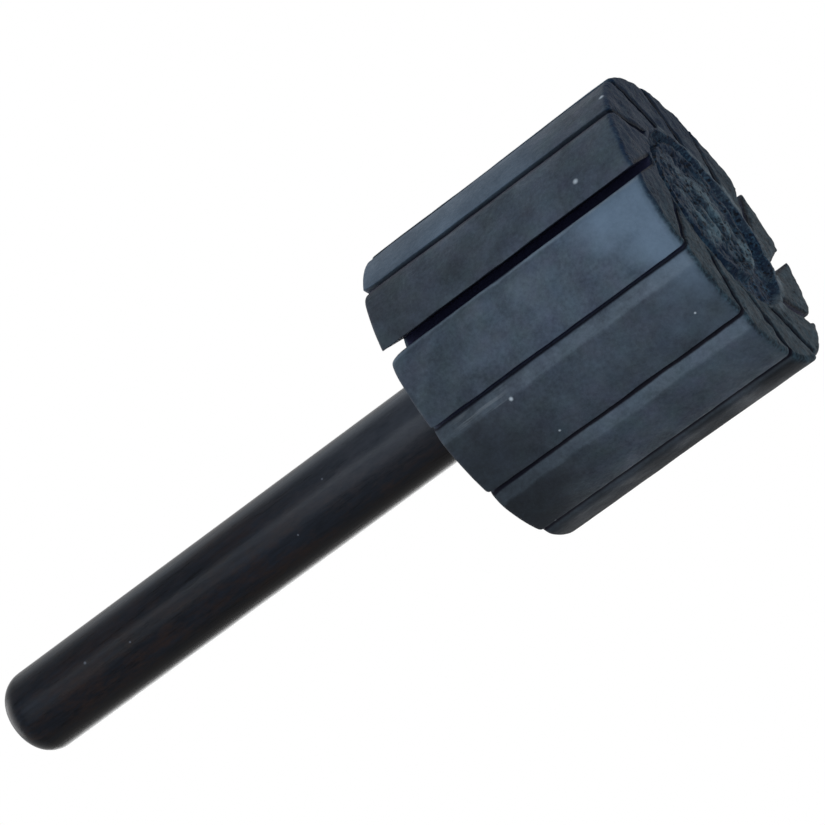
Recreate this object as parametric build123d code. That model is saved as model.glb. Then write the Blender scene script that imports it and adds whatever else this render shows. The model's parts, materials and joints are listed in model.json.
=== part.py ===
from build123d import *
from math import atan2, cos, degrees, radians, sin, sqrt
import os

# A slotted rubber drum, moulded on a round steel spindle. It carries an abrasive sleeve, which its flaps grip
# from inside. All lengths are in millimetres and all angles in degrees.
# The part stands on its head: z = 0 is the drum's free end, and the shank points straight up.

# Drum
drum_diameter = 22.0
drum_length = 20.0
free_rim_rounding = 0.35
back_rim_chamfer = 0.3

# Flaps, parted by straight slots that slant like the vanes of a pinwheel
flap_count = 12
slot_width = 0.35
slot_depth = 4.9
slot_slant = 27.0
first_slot_angle = 27.2

# Shoulder of each flap, which ducks under the tip of the next one
shoulder_width = 1.2
shoulder_drop = 0.35

# How far the shoulder of a worn flap has drawn back from its slot along the rim
shoulder_wear = {1: 0.5, 2: 0.8, 3: 0.3}

# How far each flap has settled about its root, in degrees, counted from the first slot.
# Two neighbours that lean apart leave the slot between them open.
flap_lean = {0: 1.8, 1: 1.2, 2: 0.6, 3: -0.2, 4: 1.9, 5: 0.8, 7: -0.4, 8: -1.6, 9: 1.7, 10: -0.8, 11: 0.6}

# Moulded relief of the free end: a round moat, an off-centre boss with a lip in it, and a dimple in a ring
moat_diameter = 13.2
moat_depth = 0.5
boss_diameter = 10.2
boss_shift = 0.8
boss_shift_angle = -20.0
lip_width = 0.6
boss_recess = 0.15
centre_ring_diameter = 3.6
centre_ring_width = 0.7
dimple_depth = 0.5
dimple_floor_diameter = 0.8

# Steel spindle
shank_diameter = 6.0
shank_length = 40.0
tip_flat_diameter = 2.0
seat_step = 0.5
seat_chamfer = 0.4
rubber_below_spindle = 3.0

# Sizes that follow from those above
drum_radius = drum_diameter / 2
shank_radius = shank_diameter / 2
seat_radius = shank_radius - seat_step
pitch = 360 / flap_count
slot_angle_at_rim = slot_slant - 90
slot_offset = drum_radius * sin(radians(slot_slant))
slot_root = drum_radius * cos(radians(slot_slant)) - slot_depth
hub_radius = sqrt(slot_offset**2 + slot_root**2)


def polar(radius, angle):
    """The point of the end plane at a radius and an angle about the drum's axis."""
    return Vector(radius * cos(radians(angle)), radius * sin(radians(angle)))


def wall_point(distance, radius):
    """The point at a radius on a wall that runs along -Y at a distance from the drum's axis."""
    return Vector(distance, -sqrt(radius**2 - distance**2))


def make_blank():
    """The round body that the flaps are parted from, with a rounded free rim and a chamfered back rim."""
    blank = extrude(Circle(drum_radius), drum_length)
    blank = fillet(blank.edges().sort_by(Axis.Z)[0], free_rim_rounding)
    return chamfer(blank.edges().sort_by(Axis.Z)[-1], back_rim_chamfer)


def make_flap(blank, lean, wear):
    """One rubber flap of the blank, beside a slot that runs along -Y, turned about its root by its lean.

    Its tip overhangs that slot, and its other end rolls off into a shoulder at the next slot,
    from which wear has drawn it back.
    """
    shoulder_turn = pitch - degrees(wear / drum_radius)
    tip_wall = slot_offset + slot_width / 2
    shoulder_wall = slot_offset - slot_width / 2
    buried_y = (hub_radius - seat_radius) / 2 - slot_root

    tip = wall_point(tip_wall, drum_radius)
    tip_root = Vector(tip_wall, buried_y)
    shoulder = wall_point(shoulder_wall, drum_radius - shoulder_drop).rotate(Axis.Z, shoulder_turn)
    shoulder_root = Vector(shoulder_wall, buried_y).rotate(Axis.Z, pitch)

    face_end_angle = slot_angle_at_rim + shoulder_turn - degrees(shoulder_width / drum_radius)
    face_middle = polar(drum_radius, (slot_angle_at_rim + face_end_angle) / 2)
    face_end = polar(drum_radius, face_end_angle)

    outline = [
        Line(tip_root, tip),
        ThreePointArc(tip, face_middle, face_end),
        TangentArc(face_end, shoulder, tangent=polar(1, face_end_angle + 90)),
        Line(shoulder, shoulder_root),
        Line(shoulder_root, tip_root),
    ]
    flap = extrude(make_face(outline), drum_length) & blank

    slot_angle_at_root = degrees(atan2(-slot_root, slot_offset))
    root = polar(hub_radius, slot_angle_at_root + pitch / 2)
    return flap.rotate(Axis(root, (0, 0, 1)), lean)


def make_relief():
    """What the moulded shapes of the free end take away from the drum."""
    to_boss = Pos(polar(boss_shift, boss_shift_angle))
    boss = to_boss * Circle(boss_diameter / 2)
    inside_lip = to_boss * Circle(boss_diameter / 2 - lip_width)
    centre_ring = Circle(centre_ring_diameter / 2)
    dimple_radius = centre_ring_diameter / 2 - centre_ring_width
    return [
        extrude(Circle(moat_diameter / 2) - boss, moat_depth),
        extrude(inside_lip - centre_ring, boss_recess),
        Solid.make_cone(dimple_radius, dimple_floor_diameter / 2, dimple_depth),
    ]


def make_spindle():
    """The turned steel spindle: a shank with a domed tip, and a narrower seat inside the rubber."""
    shank = Pos(0, 0, drum_length) * extrude(Circle(shank_radius), shank_length)
    tip_rim = shank.edges().filter_by(GeomType.CIRCLE).sort_by(Axis.Z)[-1]
    shank = fillet(tip_rim, shank_radius - tip_flat_diameter / 2)

    seat = Pos(0, 0, rubber_below_spindle) * extrude(Circle(seat_radius), drum_length - rubber_below_spindle)
    seat_rim = seat.edges().filter_by(GeomType.CIRCLE).sort_by(Axis.Z)[0]
    return shank + chamfer(seat_rim, seat_chamfer)


def make_drum(spindle):
    """The rubber drum in one piece: a round hub, its ring of flaps, the relief and the spindle's seat."""
    hub = extrude(Circle(hub_radius), drum_length)
    blank = make_blank()
    first_turn = first_slot_angle - slot_angle_at_rim
    flaps = []
    for index in range(flap_count):
        flap = make_flap(blank, flap_lean.get(index, 0), shoulder_wear.get(index, 0))
        flaps.append(flap.rotate(Axis.Z, first_turn + index * pitch))
    return hub + flaps - make_relief() - spindle


spindle = make_spindle()
drum = make_drum(spindle)

os.makedirs("parts", exist_ok=True)
export_step(spindle, "parts/spindle.step")
export_step(drum, "parts/rubber_drum.step")
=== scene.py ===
import json
import logging
from dataclasses import dataclass
from enum import Enum
from math import atan2, cos, degrees, hypot, pi, radians, sin, sqrt
from typing import ClassVar

import bpy
import numpy as np
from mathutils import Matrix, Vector


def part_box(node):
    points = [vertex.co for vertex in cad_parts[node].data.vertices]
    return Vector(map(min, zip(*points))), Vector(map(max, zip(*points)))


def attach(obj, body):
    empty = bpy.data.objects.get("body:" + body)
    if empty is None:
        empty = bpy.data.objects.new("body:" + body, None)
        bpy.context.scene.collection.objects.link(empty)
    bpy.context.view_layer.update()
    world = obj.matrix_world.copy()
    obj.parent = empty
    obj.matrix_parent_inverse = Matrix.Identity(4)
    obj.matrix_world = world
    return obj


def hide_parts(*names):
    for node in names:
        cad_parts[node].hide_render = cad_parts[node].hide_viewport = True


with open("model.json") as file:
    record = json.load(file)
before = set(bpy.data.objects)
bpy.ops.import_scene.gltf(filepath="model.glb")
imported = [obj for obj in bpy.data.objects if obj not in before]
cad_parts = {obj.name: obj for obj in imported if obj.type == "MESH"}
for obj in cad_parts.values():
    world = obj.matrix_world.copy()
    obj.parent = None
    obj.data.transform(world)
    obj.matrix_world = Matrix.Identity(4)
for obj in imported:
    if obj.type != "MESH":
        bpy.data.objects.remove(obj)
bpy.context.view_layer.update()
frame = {"record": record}

log = logging.getLogger("sanding_drum")
MM = 0.001
BODY = "root"


class Finish(Enum):
    """The names of the record's material slots for the rubber and the steel; no piece here takes its finish
    from them.
    """

    RUBBER = "drum_rubber"
    STEEL = "blackened_steel"


def mount_size(name: str, size: str) -> float:
    """A mount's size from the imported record.

    Args:
        name: the mount's name.
        size: the key of the size, in millimetres.

    Returns:
        The size in millimetres.
    """
    mount = next(m for m in frame["record"]["mounts"] if m["name"] == name)
    return float(mount["dims"][size])


def node_heights(node: str) -> tuple[float, float]:
    """Lowest and highest z of a CAD node, in millimetres."""
    low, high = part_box(node)
    return low.z / MM, high.z / MM


def smooth(low: float, high: float, value: np.ndarray) -> np.ndarray:
    """Smooth step: 0 up to low, 1 from high on, and 3t^2 - 2t^3 between them, where t runs from 0 to 1."""
    t = np.clip((value - low) / (high - low), 0, 1)
    return t * t * (3 - 2 * t)


@dataclass(frozen=True)
class Fade:
    """A share that goes smoothly from 0 to 1 while a measure goes from one value to another.

    Attributes:
        none: the value at which the share is 0.
        full: the value at which it is 1.
    """

    none: float
    full: float

    def at(self, measure: np.ndarray, unit: float = 1.0) -> np.ndarray:
        """The share at a measure, where both values are counted in a unit."""
        return smooth(self.none * unit, self.full * unit, measure)


@dataclass(frozen=True)
class Roughcast:
    """Seeded smooth noise in space, for relief that has no drawing.

    Attributes:
        seed: the seed of the block of random numbers.
        cell: the size of its largest grain, in millimetres.
        octaves: how many sizes of grain are added, each half as large and half as strong as the one before.
        block_size: how many random numbers the block has along each side.
    """

    seed: int
    cell: float
    octaves: int = 3
    block_size: int = 32

    def at(self, points: np.ndarray) -> np.ndarray:
        """Noise at points.

        Formula: the random values of the eight corners of the cell round a point, blended along each axis by
        3t^2 - 2t^3, summed over the octaves.

        Args:
            points: positions in millimetres, with x, y and z on the last axis.

        Returns:
            One value a point, mostly between -1 and 1.
        """
        block = np.random.default_rng(self.seed).uniform(-1, 1, (self.block_size,) * 3)
        total = np.zeros(points.shape[:-1])
        for octave in range(self.octaves):
            place = points * 2**octave / self.cell + self.seed
            base = np.floor(place).astype(int)
            t = place - base
            t = t * t * (3 - 2 * t)
            for corner in np.ndindex(2, 2, 2):
                index = (base + corner) % self.block_size
                weight = np.prod(np.where(corner, t, 1 - t), axis=-1)
                total += block[index[..., 0], index[..., 1], index[..., 2]] * weight / 2**octave
        return total


@dataclass(frozen=True)
class Pitting:
    """Seeded round pits on a plane.

    Attributes:
        seed: the seed of the places and sizes.
        cell: the width of the square that holds one pit, in millimetres.
        narrowest: the radius of the narrowest pit, in cells.
        widest: the radius of the widest pit, in cells.
        block_size: how many squares the pattern has along each side.
    """

    seed: int
    cell: float
    narrowest: float = 0.15
    widest: float = 0.55
    block_size: int = 32

    def at(self, x: np.ndarray, y: np.ndarray) -> np.ndarray:
        """Depth of the pits at points of the plane, from 0 to 1.

        Formula: each square has a pit at a random place with a random radius r, and at a distance d from its
        centre it is 1 - (d / r)^2 deep. The deepest of the nine pits nearby counts.

        Args:
            x: first coordinates of the points, in millimetres.
            y: second coordinates.

        Returns:
            One depth a point.
        """
        random = np.random.default_rng(self.seed)
        centres = random.uniform(0.0, 1.0, (self.block_size, self.block_size, 2))
        radii = random.uniform(self.narrowest, self.widest, (self.block_size, self.block_size))
        place = np.stack([x, y], axis=-1) / self.cell
        base = np.floor(place).astype(int)
        depth = np.zeros(x.shape)
        for step in np.ndindex(3, 3):
            square = base + step - np.array([1, 1])
            index = tuple(np.moveaxis(square % self.block_size, -1, 0))
            away = np.linalg.norm(square + centres[index] - place, axis=-1)
            depth = np.maximum(depth, 1 - (away / radii[index]) ** 2)
        return depth


def in_space(section: np.ndarray | complex, height: np.ndarray | float) -> np.ndarray:
    """Points with x, y and z on the last axis, from the complex points of a section and their height."""
    return np.stack(np.broadcast_arrays(section.real, section.imag, height), axis=-1)


def turned(radii: np.ndarray, heights: np.ndarray, columns: int) -> np.ndarray:
    """A surface turned about the Z axis.

    Formula: the point at radius r and angle a is (r cos a, r sin a), at the height of its row.

    Args:
        radii: the radius of each row.
        heights: the height of each row.
        columns: how many cells one turn has.

    Returns:
        Points, rows by columns by three, with the first column repeated at the end.
    """
    r, a = np.meshgrid(radii, np.linspace(0, 2 * pi, columns + 1), indexing="ij")
    return np.stack(np.broadcast_arrays(r * np.cos(a), r * np.sin(a), heights[:, None]), axis=-1)


def grid_faces(index: np.ndarray) -> np.ndarray:
    """Four-sided faces between the neighbours of a grid of vertex numbers.

    Args:
        index: vertex numbers, rows by columns.

    Returns:
        One row of four numbers a face, turning from the first axis to the second.
    """
    corners = [index[:-1, :-1], index[1:, :-1], index[1:, 1:], index[:-1, 1:]]
    return np.stack([c.ravel() for c in corners], axis=-1)


class Shell:
    """Patches of surface that are welded into one closed mesh where their borders meet.

    A point carries two marks: the number of its patch, and a distance to the border that its look depends on.
    """

    WELD = 1e-5
    PLAIN = (0.0, 100.0)

    def __init__(self) -> None:
        """Starts with no patch."""
        self.points: list[np.ndarray] = []
        self.marks: list[np.ndarray] = []
        self.faces: list[np.ndarray] = []
        self.count = 0

    def add(self, points: np.ndarray, marks: np.ndarray | tuple) -> np.ndarray:
        """Adds points without faces.

        Args:
            points: positions in millimetres, with x, y and z on the last axis.
            marks: the two marks of each point, or of all.

        Returns:
            The points' numbers, in the shape of the grid that they came in.
        """
        flat = points.reshape(-1, 3)
        index = np.arange(self.count, self.count + len(flat)).reshape(points.shape[:-1])
        self.points.append(flat)
        self.marks.append(np.broadcast_to(marks, points.shape[:-1] + (2,)).reshape(-1, 2))
        self.count += len(flat)
        return index

    def add_grid(self, points: np.ndarray, flip: bool = False,
                 marks: np.ndarray | tuple = PLAIN) -> np.ndarray:
        """Adds a grid of points with a face in each cell.

        Args:
            points: positions in millimetres, rows by columns by three.
            flip: turns the faces round.
            marks: the marks of each point.

        Returns:
            The grid's vertex numbers.
        """
        index = self.add(points, marks)
        faces = grid_faces(index)
        self.faces.append(faces[:, ::-1] if flip else faces)
        return index

    def welded(self) -> tuple[np.ndarray, list[np.ndarray], np.ndarray]:
        """Merges the points that lie at the same place, with the marks of the one that was added first.

        Returns:
            The points, the faces in arrays of one size of face each, and the marks of the points.
        """
        points = np.concatenate(self.points)
        keys = np.round(points / self.WELD).astype(np.int64)
        _, first, inverse = np.unique(keys, axis=0, return_index=True, return_inverse=True)
        inverse = inverse.reshape(-1)
        return points[first], [inverse[f] for f in self.faces], np.concatenate(self.marks)[first]


def make_object(name: str, points: np.ndarray, faces: list[np.ndarray],
                sharp_angle: float = 30.0) -> bpy.types.Object:
    """A mesh object at the origin, shaded smooth apart from its sharp edges.

    Args:
        name: the piece's name.
        points: positions in millimetres.
        faces: arrays of vertex numbers, one row a face.
        sharp_angle: the turn between two faces, in degrees, past which their edge is sharp.

    Returns:
        The new object, linked to the scene.
    """
    mesh = bpy.data.meshes.new(name)
    sizes = np.concatenate([np.full(len(f), f.shape[1]) for f in faces])
    loops = np.concatenate([f.ravel() for f in faces])
    mesh.vertices.add(len(points))
    mesh.vertices.foreach_set("co", (points * MM).astype(np.float32).ravel())
    mesh.loops.add(len(loops))
    mesh.loops.foreach_set("vertex_index", loops.astype(np.int32))
    mesh.polygons.add(len(sizes))
    mesh.polygons.foreach_set("loop_start", np.concatenate([[0], np.cumsum(sizes)[:-1]]).astype(np.int32))
    mesh.update(calc_edges=True)
    mesh.validate()
    mesh.shade_smooth()
    mesh.set_sharp_from_angle(angle=radians(sharp_angle))
    piece = bpy.data.objects.new(name, mesh)
    bpy.context.scene.collection.objects.link(piece)
    return piece


def add_attribute(piece: bpy.types.Object, name: str, values: np.ndarray) -> None:
    """Stores one number a vertex on a piece, for its material to read."""
    attribute = piece.data.attributes.new(name, "FLOAT", "POINT")
    attribute.data.foreach_set("value", values.astype(np.float32))


def fit_out(piece: bpy.types.Object, node: str, material: bpy.types.Material) -> None:
    """Gives a piece its finish, lets it stand for a CAD node and hangs it on the body.

    Args:
        piece: the finished mesh object.
        node: the CAD node that it stands for.
        material: its look.
    """
    piece.data.materials.append(material)
    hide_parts(node)
    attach(piece, BODY)
    triangles = sum(len(p.vertices) - 2 for p in piece.data.polygons)
    log.info("%s: %d triangles, stands for %s", piece.name, triangles, node)


class NodeBoard:
    """A node tree with short calls to place and join its nodes."""

    def __init__(self, tree: bpy.types.NodeTree) -> None:
        """Keeps the tree and clears it."""
        self.tree = tree
        tree.nodes.clear()

    def add(self, kind: str, inputs: dict | None = None, **settings: object) -> bpy.types.Node:
        """Places a node.

        Args:
            kind: the node's type name, without the ShaderNode in front.
            inputs: a value or an output socket for each named or numbered input.
            settings: the node's own properties.

        Returns:
            The new node.
        """
        node = self.tree.nodes.new("ShaderNode" + kind)
        for name, value in settings.items():
            setattr(node, name, value)
        for key, value in (inputs or {}).items():
            if isinstance(value, bpy.types.NodeSocket):
                self.tree.links.new(value, node.inputs[key])
            else:
                node.inputs[key].default_value = value
        return node

    def math(self, operation: str, *values: object, clamp: bool = False) -> bpy.types.NodeSocket:
        """A Math node's output, for an operation on up to three values or sockets."""
        inputs = dict(enumerate(values))
        return self.add("Math", inputs, operation=operation, use_clamp=clamp).outputs[0]

    def blend(self, share: object, first: object, second: object) -> bpy.types.NodeSocket:
        """A colour that goes from first to second with the share."""
        mix = self.add("Mix", {"Factor": share, "A": first, "B": second}, data_type="RGBA")
        return mix.outputs["Result"]

    def span(self, value: object, low: float, high: float, to_low: float = 0.0,
             to_high: float = 1.0) -> bpy.types.NodeSocket:
        """A value carried from one range to another and clamped there."""
        inputs = {"Value": value, "From Min": low, "From Max": high, "To Min": to_low, "To Max": to_high}
        return self.add("MapRange", inputs).outputs["Result"]

    def attribute(self, name: str) -> bpy.types.NodeSocket:
        """A share that the mesh carries."""
        return self.add("Attribute", attribute_name=name).outputs["Fac"]

    def noise(self, place: bpy.types.NodeSocket, scale: float, detail: float, **inputs: float) -> object:
        """The outputs of a Noise texture, which has further inputs by name."""
        given = {"Vector": place, "Scale": scale, "Detail": detail}
        return self.add("TexNoise", given | inputs).outputs

    def finish(self, colour: bpy.types.NodeSocket, roughness: bpy.types.NodeSocket, specular: float,
               height: bpy.types.NodeSocket, strength: float, distance: float) -> None:
        """Ends a material in a Principled shader with a bump.

        Args:
            colour: its base colour.
            roughness: its roughness.
            specular: its specular level.
            height: the bump's height.
            strength: the bump's strength.
            distance: the bump's depth, in metres.
        """
        bump = self.add("Bump", {"Strength": strength, "Distance": distance, "Height": height})
        shader = self.add("BsdfPrincipled", {"Base Color": colour, "Roughness": roughness,
                                             "Specular IOR Level": specular, "Normal": bump.outputs[0]})
        self.add("OutputMaterial", {"Surface": shader.outputs[0]})

    def stretched(self, place: bpy.types.NodeSocket, along: float) -> bpy.types.NodeSocket:
        """A point with its z scaled, so that a pattern is drawn out along the axis if the scale is small."""
        return self.add("Mapping", {"Vector": place, "Scale": (1.0, 1.0, along)}).outputs[0]

    def near(self, place: bpy.types.NodeSocket, ball: tuple, core: float,
             strength: float) -> bpy.types.NodeSocket:
        """A strength inside a ball that falls to 0 at its surface.

        Args:
            place: the shaded point.
            ball: the ball's centre and its radius, in millimetres.
            core: the share of the radius within which the strength is full.
            strength: the strength there.

        Returns:
            The strength at the shaded point.
        """
        *centre, radius = ball
        middle = tuple(length * MM for length in centre)
        away = self.add("VectorMath", {0: place, 1: middle}, operation="DISTANCE").outputs["Value"]
        return self.span(away, radius * MM * core, radius * MM, strength, 0.0)

    def specks(self, place: bpy.types.NodeSocket, spots: tuple) -> bpy.types.NodeSocket:
        """1 inside small balls and 0 outside them.

        Args:
            place: the shaded point.
            spots: the centre and the radius of each ball, in millimetres.

        Returns:
            The share at the shaded point.
        """
        total = 0.0
        for spot in spots:
            total = self.math("MAXIMUM", total, self.near(place, spot, 0.2, 1.0))
        return total


class SharedEffects:
    """The node groups that more than one material uses."""

    def __init__(self) -> None:
        """Builds each group once."""
        self.mottle = self.build_mottle()
        self.dust = self.build_dust()
        self.grain = self.build_grain()

    @staticmethod
    def start(name: str, inputs: dict[str, tuple[str, float]], outputs: dict[str, str]) -> tuple:
        """Starts a group with named sockets.

        Args:
            name: the group's name.
            inputs: the socket type and the usual value of each input.
            outputs: the socket type of each output.

        Returns:
            The group's tree, its board, the sockets of its inputs and those of its outputs.
        """
        tree = bpy.data.node_groups.new(name, "ShaderNodeTree")
        for label, (kind, usual) in inputs.items():
            socket = tree.interface.new_socket(label, in_out="INPUT", socket_type=kind)
            if kind == "NodeSocketFloat":
                socket.default_value = usual
        for label, kind in outputs.items():
            tree.interface.new_socket(label, in_out="OUTPUT", socket_type=kind)
        board = NodeBoard(tree)
        return tree, board, tree.nodes.new("NodeGroupInput").outputs, tree.nodes.new("NodeGroupOutput").inputs

    def build_mottle(self) -> bpy.types.NodeTree:
        """Cloudy patches over a finer speckle.

        Returns:
            A group that gives a value from 0 to 1.
        """
        inputs = {
            "Vector": ("NodeSocketVector", 0.0),
            "Patch Scale": ("NodeSocketFloat", 300.0),
            "Speckle Scale": ("NodeSocketFloat", 3000.0),
            "Speckle Share": ("NodeSocketFloat", 0.3),
        }
        tree, board, given, sink = self.start("mottle", inputs, {"Value": "NodeSocketFloat"})
        patch = board.noise(given["Vector"], given["Patch Scale"], 4.0, Roughness=0.62, Distortion=0.4)[0]
        speckle = board.noise(given["Vector"], given["Speckle Scale"], 3.0, Roughness=0.7)[0]
        mixed = board.add("Mix", {"Factor": given["Speckle Share"], "A": patch, "B": speckle})
        tree.links.new(board.span(mixed.outputs[0], 0.3, 0.7), sink["Value"])
        return tree

    def build_dust(self) -> bpy.types.NodeTree:
        """Sparse specks of dust: a round spot in each cell whose random value is below the share.

        Returns:
            A group that gives 1 on a speck and 0 off it.
        """
        inputs = {
            "Vector": ("NodeSocketVector", 0.0),
            "Scale": ("NodeSocketFloat", 900.0),
            "Share": ("NodeSocketFloat", 0.05),
            "Size": ("NodeSocketFloat", 0.2),
        }
        tree, board, given, sink = self.start("dust", inputs, {"Mask": "NodeSocketFloat"})
        cells = board.add("TexVoronoi", {"Vector": given["Vector"], "Scale": given["Scale"]}).outputs
        parts = board.add("SeparateColor", {"Color": cells["Color"]}).outputs
        chosen = board.math("LESS_THAN", parts[0], given["Share"])
        size = board.math("MULTIPLY", given["Size"], board.span(parts[1], 0, 1, 0.35))
        near = board.math("SUBTRACT", size, cells["Distance"])
        round_spot = board.span(board.math("DIVIDE", near, size), 0.0, 0.5)
        tree.links.new(board.math("MULTIPLY", chosen, round_spot), sink["Mask"])
        return tree

    def build_grain(self) -> bpy.types.NodeTree:
        """Fine grain: a rough noise, times the height.

        Returns:
            A group that gives the height of a bump.
        """
        inputs = {
            "Vector": ("NodeSocketVector", 0.0),
            "Scale": ("NodeSocketFloat", 2000.0),
            "Height": ("NodeSocketFloat", 1.0),
        }
        tree, board, given, sink = self.start("grain", inputs, {"Height": "NodeSocketFloat"})
        noise = board.noise(given["Vector"], given["Scale"], 5.0, Roughness=0.65)[0]
        tree.links.new(board.math("MULTIPLY", noise, given["Height"]), sink["Height"])
        return tree

    @staticmethod
    def place(board: NodeBoard, tree: bpy.types.NodeTree, *values: object) -> bpy.types.NodeSocket:
        """A group's output in a material, with values or sockets for the group's inputs in order."""
        return board.add("Group", dict(enumerate(values)), node_tree=tree).outputs[0]


def new_material(name: str) -> tuple[bpy.types.Material, NodeBoard]:
    """Starts a node material.

    Args:
        name: the material's name.

    Returns:
        The empty material and the board of its nodes.
    """
    material = bpy.data.materials.new(name)
    material.use_nodes = True
    return material, NodeBoard(material.node_tree)


@dataclass(frozen=True)
class Mottling:
    """The values of the shared mottle: the scale of its patches, the scale and the share of its speckle."""

    patch_scale: float
    speckle_scale: float
    speckle_share: float

    def place(self, board: NodeBoard, effects: SharedEffects,
              where: bpy.types.NodeSocket) -> bpy.types.NodeSocket:
        """Places the mottle in a material."""
        values = (self.patch_scale, self.speckle_scale, self.speckle_share)
        return effects.place(board, effects.mottle, where, *values)


@dataclass(frozen=True)
class Overlay:
    """A tone that is laid over a material where the mesh carries a share of that name: a stain, a painted
    light or a painted shade.

    Attributes:
        share: the name of the share.
        tone: the colour that is laid over.
        swing: how far the share rises where the material's noise is high. Below 0, it falls there.
    """

    share: str
    tone: tuple
    swing: float

    def lay(self, board: NodeBoard, colour: bpy.types.NodeSocket,
            noise: bpy.types.NodeSocket) -> bpy.types.NodeSocket:
        """Lays the tone over a colour.

        Args:
            board: takes the nodes.
            colour: the colour under it.
            noise: the material's noise, from 0 to 1.

        Returns:
            The colour with the tone laid over it.
        """
        factor = board.math("MULTIPLY_ADD", board.math("SUBTRACT", noise, 0.5), self.swing, 1.0)
        share = board.math("MULTIPLY", board.attribute(self.share), factor, clamp=True)
        return board.blend(share, colour, self.tone)


@dataclass(frozen=True)
class SlateRubber:
    """Matt slate-grey rubber, mottled, with dust, worn and dirty in places and crumbly at the hub, with
    painted
    light and shade: pale shoulder bands, paler free ends, darker back ends, dark slots, pits and moat, and a
    pale rim round the moat.

    Attributes:
        side_contrast: what the lowest and the highest of the side's mottle become.
        end_contrast: the values of the end's mottle that become 0 and 1.
        specks: place and radius of each white speck, in millimetres.
        scuff: place and radius of the scratched patch, in millimetres.
        scratch_draw: how much the scratches' noise is drawn out along the axis.
        scratch_noise: the strengths of that noise at which a scratch begins and is full.
        scratched_lit_band: the same for the pale band of painted light that they lie on.
        dust: scale, share and size of the sparse specks of dust.
        pit_shading: the depths of the mesh's pits at which their painted shade begins and is full.
        pore_sizes: the distances from a pore's middle at which it begins to fade and is gone, in cells.
        pore_patches: the strengths of the patches' noise at which the pores begin and are full.
        plain_pores: how deep the pores are off the crumbly rubber.
    """

    dark: tuple = (0.014, 0.020, 0.029, 1)
    pale: tuple = (0.052, 0.072, 0.098, 1)
    end_dark: tuple = (0.002, 0.006, 0.011, 1)
    end_pale: tuple = (0.025, 0.048, 0.067, 1)
    crumb_dark: tuple = (0.002, 0.006, 0.013, 1)
    crumb_pale: tuple = (0.020, 0.046, 0.076, 1)
    # painted shade: the dark tone laid into the pits, the pores and the slot edges of the free end
    pit_shade_tone: tuple = (0.002, 0.004, 0.009, 1)
    moat_dark: tuple = (0.006, 0.026, 0.055, 1)
    moat_pale: tuple = (0.048, 0.112, 0.175, 1)
    # painted shade deep inside the slots
    slot_shade_tone: tuple = (0.0160, 0.0180, 0.0450, 1)
    # painted shadow of each tip on the next shoulder, with dirt in the joint between them
    seam_shade_and_dirt_tone: tuple = (0.0020, 0.0024, 0.0066, 1)
    scratch_tone: tuple = (0.16, 0.18, 0.20, 1)
    dust_tone: tuple = (0.30, 0.33, 0.37, 1)
    speck_tone: tuple = (0.28, 0.32, 0.36, 1)
    side_overlays: tuple[Overlay, ...] = (
        # paler towards the free end: painted light, partly rub wear; on one flap paler towards the back end:
        # painted sheen
        Overlay("rubbed", (0.070, 0.104, 0.148, 1), 0.5),
        # darker towards the back end and over whole flaps: painted shade, partly dirt
        Overlay("soiled", (0.008, 0.010, 0.013, 1), -0.3),
        # painted light: the pale band where each shoulder turns to the light
        Overlay("band", (0.100, 0.132, 0.168, 1), 1.3),
        Overlay("shade", (0.012, 0.013, 0.022, 1), -0.3),
    )
    end_overlays: tuple[Overlay, ...] = (
        Overlay("lumps", (0.070, 0.116, 0.150, 1), 1.4),
        # painted shade on the moat's far wall, across the moat, in the hollows of the hub and over the +x
        # side of the free end
        Overlay("murk", (0.002, 0.010, 0.027, 1), -0.9),
        # painted highlight along the moat's outer rim
        Overlay("crest", (0.110, 0.145, 0.175, 1), 1.0),
        # painted shade along the sunk edges of the slots on the free end
        Overlay("slot_edge", pit_shade_tone, -0.3),
    )
    side_mottling: Mottling = Mottling(420.0, 3600.0, 0.38)
    side_contrast: tuple[float, float] = (0.08, 0.92)
    end_mottling: Mottling = Mottling(1100.0, 5200.0, 0.6)
    end_contrast: tuple[float, float] = (0.25, 0.75)
    tint_scale: float = 650.0
    tint_share: float = 0.16
    specks: tuple = ((6.65, -8.74, 3.77, 0.24), (-1.68, -10.85, 14.63, 0.17), (-4.04, -10.21, 2.26, 0.1),
                     (10.1, -4.1, 0.45, 0.24), (-5.03, -9.78, 13.64, 0.11))
    scuff: tuple = (-1.3, -10.9, 16.6, 2.5)
    scratch_scale: float = 5200.0
    scratch_draw: float = 0.05
    scratch_noise: tuple[float, float] = (0.54, 0.64)
    scratched_lit_band: tuple[float, float] = (0.03, 0.12)
    scratch_strength: float = 0.2
    dust: tuple = (420.0, 0.012, 0.06)
    dust_strength: float = 0.6
    roughness_low: float = 0.55
    roughness_high: float = 0.85
    specular: float = 0.12
    grain_scale: float = 2600.0
    bump_strength: float = 0.7
    bump_distance: float = 0.00009
    pit_shading: tuple[float, float] = (0.1, 0.6)
    pore_scale: float = 3000.0
    pore_sizes: tuple[float, float] = (0.26, 0.42)
    pore_patch_scale: float = 600.0
    pore_patches: tuple[float, float] = (0.4, 0.52)
    plain_pores: float = 0.5

    def build(self, effects: SharedEffects) -> bpy.types.Material:
        """Builds the material.

        Args:
            effects: the shared node groups.

        Returns:
            The finished material.
        """
        material, board = new_material("slate_rubber")
        place = board.add("TexCoord").outputs["Object"]
        mottle = board.span(self.side_mottling.place(board, effects, place), 0.0, 1.0, *self.side_contrast)
        fine = board.span(self.end_mottling.place(board, effects, place), *self.end_contrast)
        pores = self.pores(board, place)
        colour = board.blend(board.attribute("free_end"), self.side_tone(board, place, mottle),
                             self.end_tone(board, fine, pores))

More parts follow.
